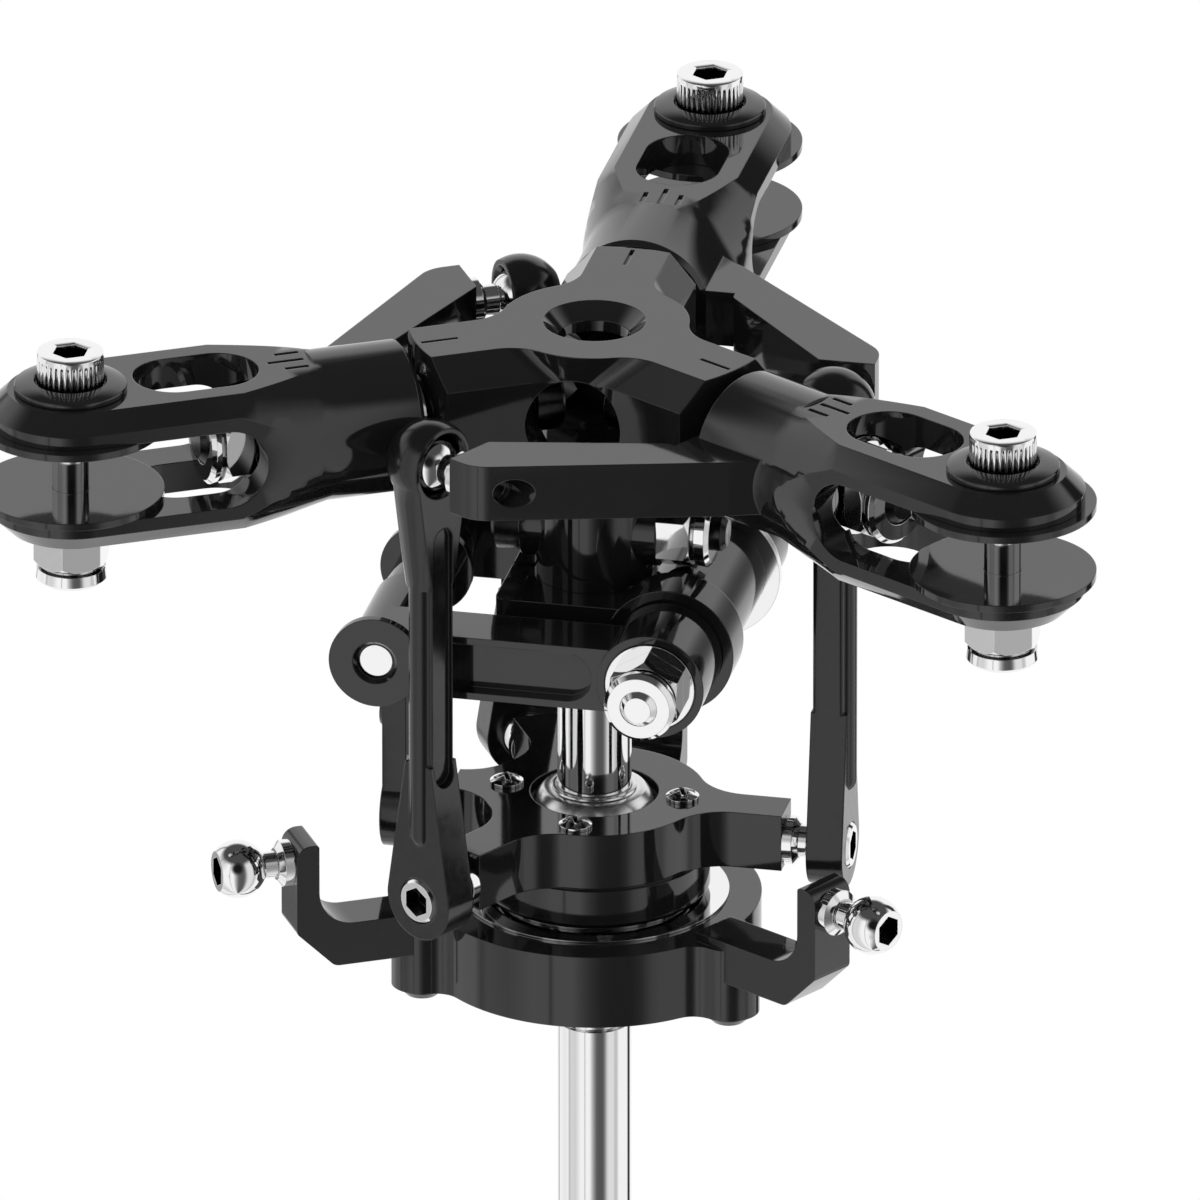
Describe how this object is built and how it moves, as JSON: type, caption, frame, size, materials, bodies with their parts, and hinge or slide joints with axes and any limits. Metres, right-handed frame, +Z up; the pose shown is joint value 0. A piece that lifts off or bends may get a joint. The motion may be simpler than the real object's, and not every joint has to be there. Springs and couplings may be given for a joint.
{
  "type": "helicopter rotor hub",
  "caption": "Model helicopter rotor hub with feathering blade grips, pitch links, scissor driver and swashplate on a short main shaft.",
  "frame": {"origin": "centre of the main shaft's lower end", "axes": "+Z up the main shaft, +Y along the second blade grip, +X along the neck cross bolt towards its nut"},
  "size_m": [0.0912, 0.081, 0.1032],
  "materials": {
    "black_anodised": "gloss",
    "moulded_plastic": "gloss",
    "bright_chrome": "polished",
    "black_oxide_steel": "satin",
    "ground_steel": "polished"
  },
  "bodies": {
    "rotor": {"driver_base": "black_anodised", "driver_clamp_screw": "black_oxide_steel", "hub_block": "black_anodised", "hub_cross_bolt": "black_oxide_steel", "hub_cross_nut": "bright_chrome", "main_shaft": "ground_steel", "spindle_1": "black_oxide_steel", "spindle_2": "black_oxide_steel", "spindle_3": "black_oxide_steel", "spindle_nuts": "bright_chrome", "spindle_spacers": "ground_steel"},
    "swash_star": {"driver_ball": "bright_chrome", "link_ball_bolts": "bright_chrome", "race_circlip": "black_anodised", "star_screws": "bright_chrome", "swash_bearing_balls": "ground_steel", "swash_bearing_inner": "ground_steel", "swash_retainer": "black_anodised", "swash_star": "black_anodised", "uniball": "bright_chrome", "uniball_race": "black_anodised"},
    "swash_ring": {"ring_screws": "black_oxide_steel", "servo_balls": "bright_chrome", "swash_bearing_outer": "ground_steel", "swash_ring": "black_anodised"},
    "scissor_fork": {"elbow_pin": "bright_chrome", "hinge_bolt": "bright_chrome", "hinge_nut": "bright_chrome", "hinge_tube": "black_anodised", "hinge_tube_rings": "black_anodised", "hinge_washers": "ground_steel", "scissor_arm_front": "black_anodised", "scissor_arm_rear": "black_anodised"},
    "scissor_link": {"scissor_ball_end": "moulded_plastic", "scissor_screw": "black_oxide_steel", "scissor_strap": "black_anodised"},
    "grip_1": {"blade_bolt_1": "bright_chrome", "blade_nut_1": "bright_chrome", "blade_spacers_1": "black_anodised", "cup_washer_1": "black_anodised", "grip_1": "black_anodised", "grip_bearings_1": "ground_steel", "pitch_ball_1": "bright_chrome"},
    "pitch_link_1": {"pitch_link_1": "moulded_plastic"},
    "grip_2": {"blade_bolt_2": "bright_chrome", "blade_nut_2": "bright_chrome", "blade_spacers_2": "black_anodised", "cup_washer_2": "black_anodised", "grip_2": "black_anodised", "grip_bearings_2": "ground_steel", "pitch_ball_2": "bright_chrome"},
    "pitch_link_2": {"pitch_link_2": "moulded_plastic"},
    "grip_3": {"blade_bolt_3": "bright_chrome", "blade_nut_3": "bright_chrome", "blade_spacers_3": "black_anodised", "cup_washer_3": "black_anodised", "grip_3": "black_anodised", "grip_bearings_3": "ground_steel", "pitch_ball_3": "bright_chrome"},
    "pitch_link_3": {"pitch_link_3": "moulded_plastic"}
  },
  "joints": [
    {"name": "collective_slide", "type": "slide", "parent": "rotor", "child": "swash_star", "axis": [0, 0, 1], "range_m": [-0.0038, 0.0038]},
    {"name": "swash_bearing_spin", "type": "hinge", "parent": "swash_star", "child": "swash_ring", "pos_m": [0, 0, 0.048], "axis": [0, 0, 1], "continuous": true},
    {"name": "feather_1", "type": "hinge", "parent": "rotor", "child": "grip_1", "pos_m": [0.01732, -0.01, 0.094], "axis": [0.866, -0.5, 0], "range_deg": [-11.2, 11.2]},
    {"name": "link_swivel_1", "type": "hinge", "parent": "swash_star", "child": "pitch_link_1", "pos_m": [-0.0098, -0.01697, 0.0559], "axis": [0, 0, 1], "range_deg": [-4, 4]},
    {"name": "feather_2", "type": "hinge", "parent": "rotor", "child": "grip_2", "pos_m": [0, 0.02, 0.094], "axis": [0, 1, 0], "range_deg": [-11.2, 11.2]},
    {"name": "link_swivel_2", "type": "hinge", "parent": "swash_star", "child": "pitch_link_2", "pos_m": [0.0196, 0, 0.0559], "axis": [0, 0, 1], "range_deg": [-4, 4]},
    {"name": "feather_3", "type": "hinge", "parent": "rotor", "child": "grip_3", "pos_m": [-0.01732, -0.01, 0.094], "axis": [-0.866, -0.5, 0], "range_deg": [-11.2, 11.2]},
    {"name": "link_swivel_3", "type": "hinge", "parent": "swash_star", "child": "pitch_link_3", "pos_m": [-0.0098, 0.01697, 0.0559], "axis": [0, 0, 1], "range_deg": [-4, 4]},
    {"name": "scissor_hinge", "type": "hinge", "parent": "rotor", "child": "scissor_fork", "pos_m": [0.0077, 0, 0.0748], "axis": [0, 1, 0], "range_deg": [-9.8, 9.8]},
    {"name": "scissor_elbow", "type": "hinge", "parent": "scissor_fork", "child": "scissor_link", "pos_m": [-0.0149, 0, 0.0748], "axis": [0, 1, 0], "range_deg": [-9.8, 9.8]}
  ],
  "couplings": [
    {"joint": "feather_1", "follows": "collective_slide", "rad_per_m": -50.556},
    {"joint": "feather_2", "follows": "collective_slide", "rad_per_m": -50.556},
    {"joint": "feather_3", "follows": "collective_slide", "rad_per_m": -50.556},
    {"joint": "scissor_hinge", "follows": "collective_slide", "rad_per_m": 44.248},
    {"joint": "scissor_elbow", "follows": "collective_slide", "rad_per_m": -44.248}
  ]
}
